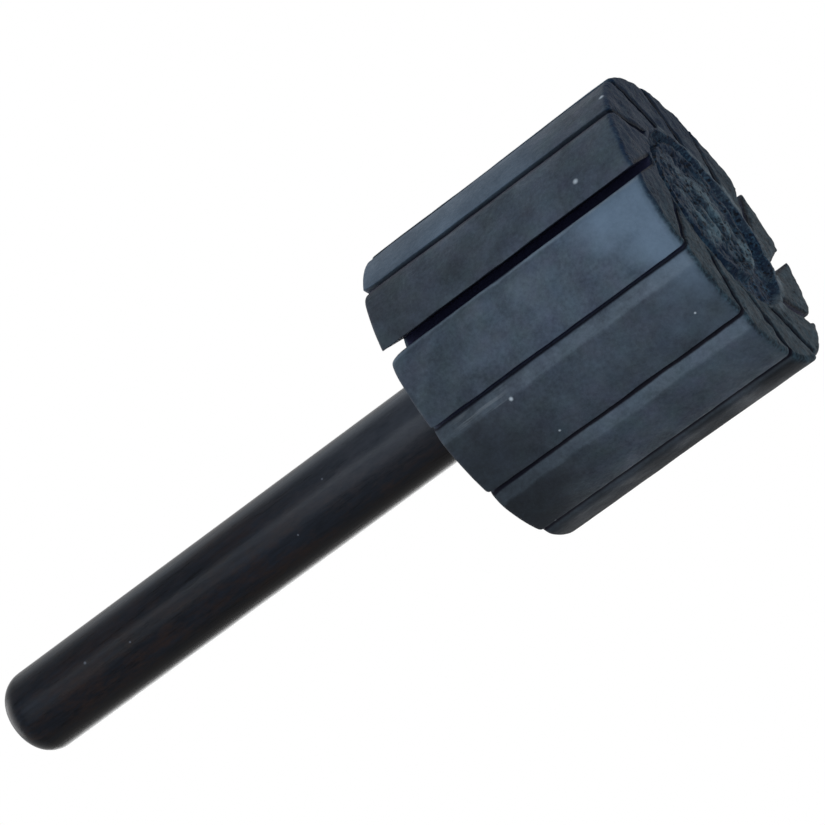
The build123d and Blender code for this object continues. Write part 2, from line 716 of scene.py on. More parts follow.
        dust = effects.place(board, effects.dust, place, *self.dust)
        colour = board.blend(board.math("MULTIPLY", dust, self.dust_strength), colour, self.dust_tone)
        colour = board.blend(board.specks(place, self.specks), colour, self.speck_tone)
        # painted shade deep inside the slots
        colour = board.blend(board.attribute("in_slot"), colour, self.slot_shade_tone)
        # painted shadow of each tip on the next shoulder, with dirt in the joint between them
        colour = board.blend(board.attribute("seam"), colour, self.seam_shade_and_dirt_tone)

        rough = board.span(mottle, 0, 1, self.roughness_high, self.roughness_low)
        rough = board.math("MAXIMUM", rough, board.attribute("soiled"))
        grain = effects.place(board, effects.grain, place, self.grain_scale, 1.0)
        height = board.math("SUBTRACT", grain, board.math("MULTIPLY", pores, board.attribute("free_end")))
        board.finish(colour, rough, self.specular, height, self.bump_strength, self.bump_distance)
        return material

    def side_tone(self, board: NodeBoard, place: bpy.types.NodeSocket,
                  mottle: bpy.types.NodeSocket) -> bpy.types.NodeSocket:
        """The colour of the outer faces and of the back end.

        Args:
            board: takes the nodes.
            place: the shaded point.
            mottle: the side's mottle, from 0 to 1.

        Returns:
            The colour, weathered, scratched and with painted light and shade.
        """
        tint = board.noise(place, self.tint_scale, 3.0)["Color"]
        inputs = {"Factor": self.tint_share, "A": board.blend(mottle, self.dark, self.pale), "B": tint}
        colour = board.add("Mix", inputs, data_type="RGBA", blend_type="SOFT_LIGHT").outputs["Result"]
        for stain in self.side_overlays:
            colour = stain.lay(board, colour, mottle)
        return board.blend(self.scratches(board, place), colour, self.scratch_tone)

    def end_tone(self, board: NodeBoard, fine: bpy.types.NodeSocket,
                 pores: bpy.types.NodeSocket) -> bpy.types.NodeSocket:
        """The colour of the free end, with its crumbly hub and its moat, and painted shade in its pits,
        pores, hollows, moat and slot edges.

        Args:
            board: takes the nodes.
            fine: the end's mottle, from 0 to 1.
            pores: how deep the pores are at the shaded point.

        Returns:
            The colour, stained, with painted shade and a painted highlight on the moat's outer rim.
        """
        colour = board.blend(fine, self.end_dark, self.end_pale)
        crumbs = board.blend(fine, self.crumb_dark, self.crumb_pale)
        colour = board.blend(board.attribute("crumbly"), colour, crumbs)
        moat = board.blend(fine, self.moat_dark, self.moat_pale)
        colour = board.blend(board.attribute("moat"), colour, moat)
        for stain in self.end_overlays:
            colour = stain.lay(board, colour, fine)
        # painted shade in the pits and the pores
        pitted = board.span(board.attribute("pitted"), *self.pit_shading)
        colour = board.blend(pitted, colour, self.pit_shade_tone)
        return board.blend(pores, colour, self.pit_shade_tone)

    def pores(self, board: NodeBoard, place: bpy.types.NodeSocket) -> bpy.types.NodeSocket:
        """Small round pores in patches, deep in the crumbly rubber and faint elsewhere.

        Args:
            board: takes the nodes.
            place: the shaded point.

        Returns:
            The depth of the pores, from 0 to 1.
        """
        cells = board.add("TexVoronoi", {"Vector": place, "Scale": self.pore_scale}).outputs["Distance"]
        patchy = board.span(board.noise(place, self.pore_patch_scale, 2.0)[0], *self.pore_patches)
        pores = board.math("MULTIPLY", board.span(cells, *self.pore_sizes, 1.0, 0.0), patchy)
        rough = board.math("MAXIMUM", board.attribute("crumbly"), board.attribute("moat"))
        return board.math("MULTIPLY", pores, board.span(rough, 0.0, 1.0, self.plain_pores))

    def scratches(self, board: NodeBoard, place: bpy.types.NodeSocket) -> bpy.types.NodeSocket:
        """Pale hair-thin scratches along the axis, where the scuffed patch meets the pale band of painted
        light.

        Args:
            board: takes the nodes.
            place: the shaded point.

        Returns:
            The share of the scratches' tone.
        """
        drawn = board.stretched(place, self.scratch_draw)
        noise = board.noise(drawn, self.scratch_scale, 2.0)[0]
        strokes = board.span(noise, *self.scratch_noise)
        near = board.near(place, self.scuff, 0.5, self.scratch_strength)
        on_lit_band = board.span(board.attribute("band"), *self.scratched_lit_band)
        return board.math("MULTIPLY", strokes, board.math("MULTIPLY", near, on_lit_band))


@dataclass(frozen=True)
class BlackenedSteel:
    """Semi-gloss blackened steel with faint brown tints, dust and a painted highlight on its lit side where
    it leaves the drum, and painted shade along its low side.

    Attributes:
        specks: place and radius of each white speck, in millimetres.
        dust: scale, share and size of the sparse specks of dust.
        draw: how much the finish is drawn out along the axis.
        stain_draw: the same for the brown tints.
        dust_and_highlight_heights: the heights at which the patch of dust and painted highlight begins to
            fade and is gone, in metres.
        dust_and_highlight_sides: the x at which it begins and the x at which it is full.
        dust_and_highlight_patches: the strengths of the tints' noise at which it is weakest and full.
        brown_side: the x past which, on either side, the brown tints are weakest or strongest.
        brown_patches: the strengths of their noise at which they begin and are full.
        low_side_shade_sides: the x at which the painted shade of the low side begins and the x at which it is
            full.
        low_side_shade_share: how much of that painted shade's tone is laid over there.
    """

    dark: tuple = (0.0008, 0.0009, 0.0015, 1)
    pale: tuple = (0.0074, 0.0098, 0.0152, 1)
    brown: tuple = (0.0135, 0.0082, 0.0072, 1)
    dust_and_highlight: tuple = (0.024, 0.029, 0.038, 1)
    low_side_shade_tone: tuple = (0.0003, 0.0002, 0.0004, 1)
    dust_tone: tuple = (0.10, 0.11, 0.13, 1)
    speck_tone: tuple = (0.07, 0.08, 0.10, 1)
    mottling: Mottling = Mottling(900.0, 5200.0, 0.45)
    staining: Mottling = Mottling(420.0, 2600.0, 0.4)
    specks: tuple = ((0.84, -2.88, 52.13, 0.13), (0.18, -3.0, 48.5, 0.09), (1.34, -2.69, 30.74, 0.09),
                     (-0.68, -2.92, 34.31, 0.09))
    dust: tuple = (420.0, 0.02, 0.06)
    draw: float = 0.12
    stain_draw: float = 0.35
    dust_and_highlight_heights: tuple[float, float] = (0.021, 0.038)
    dust_and_highlight_sides: tuple[float, float] = (-0.0014, 0.0004)
    dust_and_highlight_patches: tuple[float, float] = (0.1, 0.8)
    brown_side: float = 0.0018
    brown_patches: tuple[float, float] = (0.4, 0.8)
    low_side_shade_sides: tuple[float, float] = (-0.0014, -0.0025)
    low_side_shade_share: float = 0.95
    roughness_low: float = 0.24
    roughness_high: float = 0.36
    specular: float = 0.06
    grain_scale: float = 4200.0
    bump_strength: float = 0.4
    bump_distance: float = 0.00003

    def build(self, effects: SharedEffects) -> bpy.types.Material:
        """Builds the material.

        Args:
            effects: the shared node groups.

        Returns:
            The finished material.
        """
        material, board = new_material("blackened_steel")
        place = board.add("TexCoord").outputs["Object"]
        drawn = board.stretched(place, self.draw)
        mottle = self.mottling.place(board, effects, drawn)
        tint = self.staining.place(board, effects, board.stretched(place, self.stain_draw))
        parts = board.add("SeparateXYZ", {"Vector": place}).outputs

        browned = board.span(parts["X"], self.brown_side, -self.brown_side, 0.4)
        stain = board.math("MULTIPLY", board.span(tint, *self.brown_patches), browned)
        colour = board.blend(stain, board.blend(mottle, self.dark, self.pale), self.brown)
        # dust near the drum, strongest on the lit side, where it also stands in for a painted highlight
        near_drum = board.span(parts["Z"], *self.dust_and_highlight_heights, 1.0, 0.0)
        lit_side = board.span(parts["X"], *self.dust_and_highlight_sides, 0.15)
        patchy = board.math("MULTIPLY", near_drum, board.span(tint, *self.dust_and_highlight_patches, 0.35))
        colour = board.blend(board.math("MULTIPLY", patchy, lit_side), colour, self.dust_and_highlight)
        # painted shade along the shank's low side
        low_side_shade = board.span(parts["X"], *self.low_side_shade_sides, 0.0, self.low_side_shade_share)
        colour = board.blend(low_side_shade, colour, self.low_side_shade_tone)
        dust = effects.place(board, effects.dust, place, *self.dust)
        colour = board.blend(dust, colour, self.dust_tone)
        colour = board.blend(board.specks(place, self.specks), colour, self.speck_tone)

        rough = board.span(mottle, 0, 1, self.roughness_low, self.roughness_high)
        grain = effects.place(board, effects.grain, drawn, self.grain_scale, 1.0)
        board.finish(colour, rough, self.specular, grain, self.bump_strength, self.bump_distance)
        return material


def unit(angle: np.ndarray | float) -> np.ndarray | complex:
    """The complex number of length 1 at an angle in degrees. Points of a section are complex numbers here."""
    return np.exp(1j * np.radians(angle))


@dataclass(frozen=True)
class Flap:
    """How one flap has settled, worn and weathered, and the light and shade painted on it. Lengths are in
    millimetres, and shares go from 0 to 1.

    Attributes:
        lean: its turn about its root, in degrees.
        tip_wear: how far its tip has drawn back along the rim.
        shoulder_wear: how far its shoulder has drawn back along the rim.
        tip_corner: how far the corner of its tip is worn off at the back end.
        shoulder_corner: how far the corner of its shoulder is worn off at the back end.
        root_wear: how far the foot of its tip wall has drawn back.
        band: the width of the pale band along its shoulder, painted light where the shoulder turns to the
            light.
        band_light: how strong the painted light on that band is.
        shade: the width of the dark band along its shoulder.
        seam: the width of the black line at its shoulder's end: the painted shadow of the next tip, with
            dirt.
        rubbed: how pale its free end is: painted light, partly rub wear.
        painted_back_sheen: how pale it is towards its back end: a painted sheen.
        soiled: how dark its back end is: painted shade, partly dirt.
        dull_and_shaded: how much darker and rougher all of it is; the darkening is painted shade.
    """

    lean: float = 0.0
    tip_wear: float = 0.03
    shoulder_wear: float = 0.0
    tip_corner: float = 0.0
    shoulder_corner: float = 0.0
    root_wear: float = 0.12
    band: float = 1.1
    band_light: float = 0.3
    shade: float = 0.0
    seam: float = 0.15
    rubbed: float = 0.2
    painted_back_sheen: float = 0.0
    soiled: float = 0.5
    dull_and_shaded: float = 0.1


FLAPS = (
    Flap(lean=1.8),
    Flap(lean=1.2, shoulder_wear=0.5),
    Flap(lean=0.6, shoulder_wear=0.8),
    Flap(lean=-0.2, shoulder_wear=0.3),
    Flap(lean=1.9),
    Flap(lean=0.8, shoulder_corner=0.3, band=0.75, band_light=0.16, seam=0.5, rubbed=0.0,
         soiled=0.9, dull_and_shaded=0.95),
    Flap(tip_wear=0.1, tip_corner=0.15, shoulder_corner=0.35, band_light=0.3, seam=0.26, soiled=0.9, dull_and_shaded=0.17),
    Flap(lean=-0.4, tip_wear=0.1, tip_corner=0.15, band_light=0.35, seam=0.12, rubbed=1.0,
         soiled=0.8, dull_and_shaded=0.35),
    Flap(lean=-1.6, tip_wear=0.14, shoulder_corner=0.5, band=0.3, band_light=1.0, seam=0.0, rubbed=0.85,
         soiled=0.35, dull_and_shaded=0.0),
    Flap(lean=1.7, shoulder_corner=0.3, root_wear=0.3, band_light=0.0, shade=0.8, rubbed=0.0,
         soiled=0.65, dull_and_shaded=0.42),
    Flap(lean=-0.8, tip_corner=0.4, rubbed=0.0, painted_back_sheen=0.85, soiled=0.0, dull_and_shaded=0.42),
    Flap(lean=0.6),
)


FLAP_WEATHERING_AND_LIGHT = ("band", "band_light", "shade", "seam", "rubbed", "painted_back_sheen", "soiled", "dull_and_shaded")


@dataclass
class RubberDrum:
    """The rubber drum: a hub and a ring of flaps in one moulding, in millimetres and degrees.

    The noises and pits in capitals give its grain. A Fade says where a share of its relief or look begins
    and is full: in millimetres, as a share of the drum's length, or by the strength of a noise.
    """

    END_FACE: ClassVar[float] = -1.0
    CRUMBS: ClassVar[Roughcast] = Roughcast(seed=11, cell=1.2)
    CRUMBS_ACROSS: ClassVar[Roughcast] = Roughcast(seed=13, cell=1.0)
    GRIT: ClassVar[Roughcast] = Roughcast(seed=17, cell=0.55, octaves=2)
    RIPPLES: ClassVar[Roughcast] = Roughcast(seed=5, cell=0.7)
    HOLLOWS: ClassVar[Roughcast] = Roughcast(seed=7, cell=2.6, octaves=2)
    SWELL: ClassVar[Roughcast] = Roughcast(seed=3, cell=3.5, octaves=4)
    EDGE_WAVES: ClassVar[Roughcast] = Roughcast(seed=31, cell=1.6, octaves=4)
    BORDER_WAVES: ClassVar[Roughcast] = Roughcast(seed=41, cell=1.3, octaves=4)
    CLOUDS: ClassVar[Roughcast] = Roughcast(seed=43, cell=4.5, octaves=4)
    PITS: ClassVar[Pitting] = Pitting(seed=23, cell=0.5)

    rubber: SlateRubber = SlateRubber()
    flaps: tuple[Flap, ...] = FLAPS
    slot_width: float = 0.35
    slot_depth: float = 4.9
    slot_slant: float = 27.0
    first_slot_angle: float = 27.2
    shoulder_width: float = 1.2
    shoulder_drop: float = 0.35
    free_rim_rounding: float = 0.35
    back_rim_rounding: float = 0.3
    tip_rounding: float = 0.1
    shoulder_rounding: float = 0.16
    worn_corner_length: float = 1.0
    edge_wear: float = 0.035
    edge_tracks: tuple[float, float] = (0.3, 0.6)
    track_spacing: float = 7.7

    moat_diameter: float = 13.2
    moat_depth: float = 0.5
    boss_diameter: float = 10.2
    boss_shift: float = 0.8
    boss_shift_angle: float = -20.0
    lip_width: float = 0.6
    boss_recess: float = 0.15
    centre_ring_diameter: float = 3.6
    centre_ring_width: float = 0.7
    dimple_depth: float = 0.5
    dimple_floor_diameter: float = 0.8
    relief_slope_width: float = 0.16
    sharp_angle: float = 40.0

    ragged_shift: float = 0.12
    crumb_base: float = 0.07
    crumb_height: float = 0.09
    pit_depth: float = 0.28
    moat_crumb_height: float = 0.06
    grit_height: float = 0.13
    grit_lowest: float = -0.2
    ripple_height: float = 0.055
    hollow_depth: float = 0.05
    slot_edge_depth: float = 0.12
    relief_reach: float = 1.2
    dent_depth: float = 0.035
    dent_from: float = 0.8
    dent_to: float = 0.4
    crumbly_border: float = 0.25
    pits_by_crumbs: Fade = Fade(-0.6, 0.3)
    pits_by_radius: Fade = Fade(4.9, 4.5)
    slot_edge_fade: Fade = Fade(0.34, 0.08)

    end_fade: Fade = Fade(0.5, 0.1)
    far_side_fade: Fade = Fade(-2.5, 2.5)
    lump_fade: Fade = Fade(0.0, -0.7)
    hollow_shade: float = 0.8
    hollow_shade_fade: Fade = Fade(-0.1, 0.5)
    moat_shade: float = 0.85
    moat_shade_fade: Fade = Fade(0.5, -2.5)
    end_side_shade: float = 0.95
    end_side_shade_fade: Fade = Fade(-0.5, 6.5)
    wall_place: float = -0.02
    wall_width: float = 0.2
    crest_highlight_place: float = 0.45
    crest_highlight_width: float = 0.27
    crest_highlight_fade: Fade = Fade(-0.8, 0.3)
    crest_highlight_side: float = 8.0
    slot_shade_from: float = 0.3
    slot_shade_to: float = 0.9
    off_end_fade: Fade = Fade(0.02, 0.3)

    border_wave: float = 0.1
    border_width: float = 0.12
    border_share: float = 0.25
    lit_band_share: float = 0.8
    lit_band_outside: float = 0.22
    lit_band_inside: float = 0.1
    lit_band_tired: float = 0.5
    lit_band_tiring: Fade = Fade(0.2, 0.9)
    seam_shade_and_dirt_blur: float = 0.05
    shade_blur: float = 0.25
    rubbed_and_lit_fade: Fade = Fade(0.26, 0.02)
    rubbed_and_lit_cloud: float = 3.0
    painted_back_sheen_fade: Fade = Fade(0.1, 0.4)
    soiled_and_shaded_fade: Fade = Fade(0.4, 0.95)
    soiled_and_shaded_cloud: float = 2.0
    dull_and_shaded_cloud: float = 0.3

    seat_diameter: float = 5.0
    rubber_below_spindle: float = 3.0

    face_columns: int = 26
    shoulder_columns: int = 8
    tip_columns: int = 4
    corner_columns: int = 3
    wall_columns: int = 20
    slot_floor_columns: int = 2
    side_rows: int = 64
    rim_rows: int = 6
    corner_rows: int = 4
    wall_bands: int = 6
    annulus_rings: int = 8

    def __post_init__(self) -> None:
        """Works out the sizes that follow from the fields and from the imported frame."""
        self.radius = mount_size("sleeve_seat", "r_mm")
        self.bottom, self.top = node_heights("rubber_drum")
        self.pitch = 360 / len(self.flaps)
        self.slot_offset = self.radius * sin(radians(self.slot_slant))
        self.slot_root = self.radius * cos(radians(self.slot_slant)) - self.slot_depth
        self.hub_radius = hypot(self.slot_offset, self.slot_root)
        self.slot_angle_at_rim = self.slot_slant - 90
        slot_angle_at_root = degrees(atan2(-self.slot_root, self.slot_offset))
        self.root = self.hub_radius * unit(slot_angle_at_root + self.pitch / 2)
        self.lean = self.each("lean")
        turns = self.first_slot_angle - self.slot_angle_at_rim + np.arange(len(self.flaps)) * self.pitch
        self.flap_turn = unit(turns)[:, None, None]

    def each(self, field: str) -> np.ndarray:
        """One field of all flaps, ready to be spread over rows and columns."""
        return np.array([getattr(flap, field) for flap in self.flaps])[:, None, None]

    def rows(self) -> tuple[np.ndarray, np.ndarray]:
        """Heights and insets of the rows of the side, from the free end to the back end.

        Formula: both rims are quarter circles, at inset r(1 - sin a) and height r(1 - cos a) from their end.

        Returns:
            The height of each row, and how far its outline lies inside the full one.
        """
        angle = np.linspace(0, pi / 2, self.rim_rows + 1)
        free, back = self.free_rim_rounding, self.back_rim_rounding
        low_heights = self.bottom + free * (1 - np.cos(angle))
        high_heights = self.top - back * (1 - np.cos(angle[::-1]))
        middle = np.linspace(low_heights[-1], high_heights[0], self.side_rows + 1)[1:-1]
        heights = np.concatenate([low_heights, middle, high_heights])
        insets = np.concatenate([free * (1 - np.sin(angle)), middle * 0, back * (1 - np.sin(angle[::-1]))])
        return heights, insets

    @staticmethod
    def meet(start: np.ndarray, end: np.ndarray, centre: np.ndarray | float,
             radius: np.ndarray | float) -> np.ndarray:
        """Where the line from start towards end first meets a circle.

        Formula: with the unit vector u from start to end and the vector m from the centre to start, the
        distance along the line is -m.u - sqrt((m.u)^2 - m.m + r^2).

        Args:
            start: where the line starts, on the circle or outside it.
            end: a point that it heads for.
            centre: the circle's centre.
            radius: the circle's radius.

        Returns:
            The meeting points, as complex numbers.
        """
        along = (end - start) / abs(end - start)
        offset = start - centre
        reach = (offset * np.conj(along)).real
        return start - along * (reach + np.sqrt(reach**2 - abs(offset) ** 2 + radius**2))

    def walls(self, tip_wear: np.ndarray, shoulder_wear: np.ndarray) -> tuple[np.ndarray, ...]:
        """The two lines of a flap's walls, from rim point to buried root, in the flap's own frame.

        Args:
            tip_wear: how far the tip has drawn back along the rim.
            shoulder_wear: how far the shoulder has drawn back along the rim.

        Returns:
            The rim point and the root of the tip wall, then those of the shoulder wall.
        """
        tip_wall = self.slot_offset + self.slot_width / 2
        shoulder_wall = self.slot_offset - self.slot_width / 2
        low_radius = self.radius - self.shoulder_drop
        buried = 1j * ((self.hub_radius - self.seat_diameter / 2) / 2 - self.slot_root)
        tip = tip_wall - 1j * sqrt(self.radius**2 - tip_wall**2)
        shoulder = (shoulder_wall - 1j * sqrt(low_radius**2 - shoulder_wall**2)) * unit(self.pitch)
        tip = tip * np.exp(1j * tip_wear / self.radius)
        shoulder = shoulder * np.exp(-1j * shoulder_wear / self.radius)
        return tip, tip_wall + buried, shoulder, (shoulder_wall + buried) * unit(self.pitch)

    def feet(self) -> tuple[np.ndarray, np.ndarray]:
        """Where the two walls of each flap stand on the hub circle.

        Formula: the hub's centre is turned back about the flap's root by the lean, and each wall's line is
        met with the circle about that centre.

        Returns:
            The foot of the tip wall and of the shoulder wall, one a flap, in the flap's own frame.
        """
        centre = self.root * (1 - unit(-self.lean))
        tip, tip_root, shoulder, shoulder_root = self.walls(self.each("tip_wear"), self.each("shoulder_wear"))
        tip_foot = self.meet(tip, tip_root, centre, self.hub_radius)
        shoulder_foot = self.meet(shoulder, shoulder_root, centre, self.hub_radius)
        worn = np.exp(1j * self.each("root_wear") / self.hub_radius)
        return centre + (tip_foot - centre) * worn, shoulder_foot

    def wear(self, heights: np.ndarray) -> tuple[np.ndarray, np.ndarray]:
        """How far tips and shoulders have drawn back from their slots at each height.

        Formula: a constant share, a quarter ellipse at the back end, and a shallow noise along the edge.

        Args:
            heights: the height of each row.

        Returns:
            The wear of the tips and of the shoulders, one flap by rows by one.
        """
        into_corner = np.clip((heights - self.top) / self.worn_corner_length + 1, 0, 1)
        corner = (1 - np.sqrt(1 - into_corner**2))[None, :, None]
        count = np.arange(len(self.flaps))
        edges = []
        for track in self.edge_tracks:
            across = (count[:, None] + track) * self.track_spacing
            spots = np.stack(np.broadcast_arrays(across, heights[None], 0.0), axis=-1)
            noise = self.EDGE_WAVES.at(spots)[..., None]
            edges.append(self.edge_wear * np.clip(0.5 + noise, 0, 2))
        tip_wear = edges[0] + corner * self.each("tip_corner") + self.each("tip_wear")
        shoulder_wear = edges[1] + corner * self.each("shoulder_corner") + self.each("shoulder_wear")
        return tip_wear, shoulder_wear

    @staticmethod
    def corner(before: np.ndarray, peak: np.ndarray, after: np.ndarray, columns: int) -> np.ndarray:
        """A rounded corner: the quadratic curve from before to after that is drawn towards the peak."""
        t = np.linspace(0, 1, columns + 1)
        return (1 - t) ** 2 * before + 2 * t * (1 - t) * peak + t**2 * after

    def ribbon(self, heights: np.ndarray, insets: np.ndarray) -> np.ndarray:
        """The outer line of the flaps, from the tip over the face to the shoulder, in the flap's own frame.

        Formula: a circle about the drum's axis from the tip to where the shoulder starts, then the circle
        that leaves it in the same direction and ends on the shoulder wall, with both corners rounded.

        Args:
            heights: the height of each row.
            insets: how far each row lies inside the full outline.

        Returns:
            Complex points, one flap by rows by columns.
        """
        radius = self.radius - insets[None, :, None]
        tip_wear, shoulder_wear = self.wear(heights)
        tip, tip_root, shoulder, shoulder_root = self.walls(tip_wear, shoulder_wear)
        tip = self.meet(tip, tip_root, 0.0, radius)
        shoulder = self.meet(shoulder, shoulder_root, 0.0, radius - self.shoulder_drop)

        tip_angle = np.degrees(np.angle(tip)) + degrees(self.tip_rounding / self.radius)
        shoulder_span = np.degrees((self.shoulder_width + shoulder_wear) / self.radius)
        face_end_angle = self.slot_angle_at_rim + self.pitch - shoulder_span
        share = np.linspace(0, 1, self.face_columns + 1)
        face = radius * unit(tip_angle + (face_end_angle - tip_angle) * share)

        outward = unit(face_end_angle)
        start = radius * outward
        to_shoulder = shoulder - start
        along = (to_shoulder * np.conj(1j * outward)).real
        inward = -(to_shoulder * np.conj(outward)).real
        bend_radius = abs(to_shoulder) ** 2 / (2 * inward)
        sweep = 2 * np.arctan2(inward, along)
        share = np.linspace(0, 1, self.shoulder_columns + 1)
        end_share = 1 - self.shoulder_rounding / (sweep * bend_radius)
        roll = start + bend_radius * outward * (np.exp(1j * sweep * end_share * share) - 1)

        into_tip = (tip_root - tip) / abs(tip_root - tip)
        into_shoulder = (shoulder_root - shoulder) / abs(shoulder_root - shoulder)
        before_tip = tip + self.tip_rounding * into_tip
        tip_curve = self.corner(before_tip, tip, face[..., :1], self.tip_columns)
        after_shoulder = shoulder + self.shoulder_rounding * into_shoulder
        shoulder_curve = self.corner(roll[..., -1:], shoulder, after_shoulder, self.corner_columns)
        return np.concatenate([tip_curve, face[..., 1:], roll[..., 1:], shoulder_curve[..., 1:]], axis=-1)

    def placed(self, section: np.ndarray, height: np.ndarray | float) -> np.ndarray:
        """Leans the flaps about their roots, turns them to their places and gives them a height.

        Args:
            section: complex points in the flap's own frame, one flap by rows by columns.
            height: the height of each row, or one height.

        Returns:
            Points in the row frame, with x, y and z on the last axis.
        """
        leant = self.root + (section - self.root) * unit(self.lean)
        return in_space(leant * self.flap_turn, np.asarray(height, float).reshape(1, -1, 1))

    def root_arc(self, foot_a: np.ndarray, foot_b: np.ndarray, share: np.ndarray) -> np.ndarray:
        """Points of the hub circle between two feet, all in the row frame as complex numbers.

        Args:
            foot_a: the foot at which the arc starts.
            foot_b: the foot at which it ends, further round.
            share: how far along the arc each point lies, from 0 to 1.

        Returns:
            The points.
        """
        start = np.angle(foot_a)
        sweep = (np.angle(foot_b) - start) % (2 * pi)
        return self.hub_radius * np.exp(1j * (start + sweep * share))

    def build_shell(self) -> Shell:
        """All patches of the drum: faces of the flaps, slot walls, both ends, the hub's disc and the seat.

        Returns:
            The patches, with vertex numbers that are still to be welded.
        """
        shell = Shell()
        heights, insets = self.rows()
        outer = self.placed(self.ribbon(heights, insets), heights)
        steps = np.linalg.norm(np.diff(outer, axis=2), axis=-1)
        to_end = np.cumsum(steps[..., ::-1], axis=-1)[..., ::-1]
        to_end = np.append(to_end, np.zeros(outer.shape[:2] + (1,)), axis=-1)
        number = np.broadcast_to(np.arange(1, len(self.flaps) + 1)[:, None, None], to_end.shape)
        marks = np.stack([number, to_end], axis=-1)
        outer_index = [shell.add_grid(flap, True, mark) for flap, mark in zip(outer, marks)]

        feet = [self.placed(foot, self.bottom)[:, 0, 0] for foot in self.feet()]
        tip_feet, shoulder_feet = [f[:, 0] + 1j * f[:, 1] for f in feet]
        share = np.linspace(0, 1, self.slot_floor_columns + 1)
        floors = [self.root_arc(*pair, share) for pair in zip(shoulder_feet, np.roll(tip_feet, -1))]

        last = len(heights) - 1
        fine = self.rim_rows + self.corner_rows
        middle = np.linspace(self.rim_rows, last - fine, self.wall_bands + 1).astype(int)
        bands = np.concatenate([np.arange(self.rim_rows), middle, np.arange(last - fine + 1, last + 1)])
        flaps = list(zip(outer, outer_index, tip_feet, shoulder_feet, floors))
        for face, index, tip_foot, shoulder_foot, floor in flaps:
            self.add_wall(shell, tip_foot, face[:, 0], index[:, 0], bands, True)
            self.add_wall(shell, shoulder_foot, face[:, -1], index[:, -1], bands, False)
            shell.add_grid(in_space(floor, heights[bands][:, None]), flip=True)

        angles = []
        for face, _, tip_foot, shoulder_foot, floor in flaps:
            root = self.add_flap_ends(shell, face[[0, -1]], tip_foot, shoulder_foot)
            angles.append(np.angle(np.concatenate([root[:-1], floor[:-1]])))
        rim_angles = np.unwrap(np.concatenate(angles))
        self.add_disc(shell, rim_angles)
        self.add_back(shell, rim_angles)
        return shell

    def add_flap_ends(self, shell: Shell, rims: np.ndarray, tip_foot: complex,
                      shoulder_foot: complex) -> np.ndarray:
        """The two flat ends of a flap.

        Formula: straight lines from points of the hub circle to the points of the flap's outer line, both at
        the same shares of their length.

        Args:
            shell: takes the patches.
            rims: the flap's outer line at the free end and at the back end.
            tip_foot: the foot of its tip wall in the row frame.
            shoulder_foot: the foot of its shoulder wall.

        Returns:
            The complex points on the hub circle.
        """
        lines = rims[..., 0] + 1j * rims[..., 1]
        steps = np.append(0, np.cumsum(abs(np.diff(lines[0]))))
        root = self.root_arc(tip_foot, shoulder_foot, steps / steps[-1])
        reach = np.linspace(0, 1, self.wall_columns + 1)[:, None]
        for line, level, flip in zip(lines, (self.bottom, self.top), (True, False)):
            face = root + (line - root) * reach
            along = np.cumsum(abs(np.diff(face, axis=1, prepend=face[:, :1])), axis=1)
            to_wall = np.minimum(along, along[:, -1:] - along)
            marks = np.stack([np.full(face.shape, self.END_FACE), to_wall], axis=-1)
            shell.add_grid(in_space(face, level), flip, marks)
        return root

    def add_wall(self, shell: Shell, foot: complex, edge: np.ndarray, edge_index: np.ndarray,
                 bands: np.ndarray, flip: bool) -> None:
        """One flat wall of a slot, from its foot on the hub to the edge of the flap's face.

        Formula: straight lines from the foot to the edge, at the heights of a few bands. The last column of
        each band is a many-sided face that takes in every point of the edge.

        Args:
            shell: takes the patch.
            foot: the wall's foot in the row frame.
            edge: the points of the edge, one a row of the side.
            edge_index: their vertex numbers.
            bands: the rows at which the wall has points of its own.
            flip: turns the faces round.
        """
        ends = edge[bands]
        start = in_space(foot, ends[:, 2])
        reach = np.linspace(0, 1, self.wall_columns + 1)[None, :-1, None]
        index = shell.add_grid(start[:, None] + (ends - start)[:, None] * reach, flip, (self.END_FACE, 0.0))
        for band, (low, high) in enumerate(zip(bands[:-1], bands[1:])):
            face = np.concatenate([index[band:band + 2, -1], edge_index[low:high + 1][::-1]])
            shell.faces.append((face[::-1] if flip else face)[None])

    def add_disc(self, shell: Shell, rim_angles: np.ndarray) -> None:
        """The hub's disc at the free end.

        Formula: a square grid is bent into a disc, so that the square's outline with largest coordinate r
        becomes the circle of radius r, and the angles are then eased towards those of the rim's points.

        Args:
            shell: takes the patch.
            rim_angles: the angles of the rim's points, in radians, rising through one turn.
        """
        side = np.linspace(-1, 1, len(rim_angles) // 4 + 1)
        a, b = np.meshgrid(side, side, indexing="ij")
        wide = abs(a) >= abs(b)
        radius = np.maximum(abs(a), abs(b))
        turn_a = np.where(a >= 0, 0, pi) + pi / 4 * b / np.where(a == 0, 1, a)
        turn_b = np.where(b >= 0, pi / 2, 3 * pi / 2) - pi / 4 * a / np.where(b == 0, 1, b)
        turn = np.where(wide, turn_a, turn_b)
        position = ((turn + pi / 4) % (2 * pi)) / (2 * pi) * len(rim_angles)
        count = np.arange(len(rim_angles) + 1)
        closed = np.append(rim_angles, rim_angles[0] + 2 * pi)
        plain = rim_angles[0] + count / len(rim_angles) * 2 * pi
        eased = np.interp(position, count, closed - plain) * radius**3
        angle = rim_angles[0] + position / len(rim_angles) * 2 * pi + eased
        shell.add_grid(in_space(self.hub_radius * radius * np.exp(1j * angle), self.bottom), flip=True)

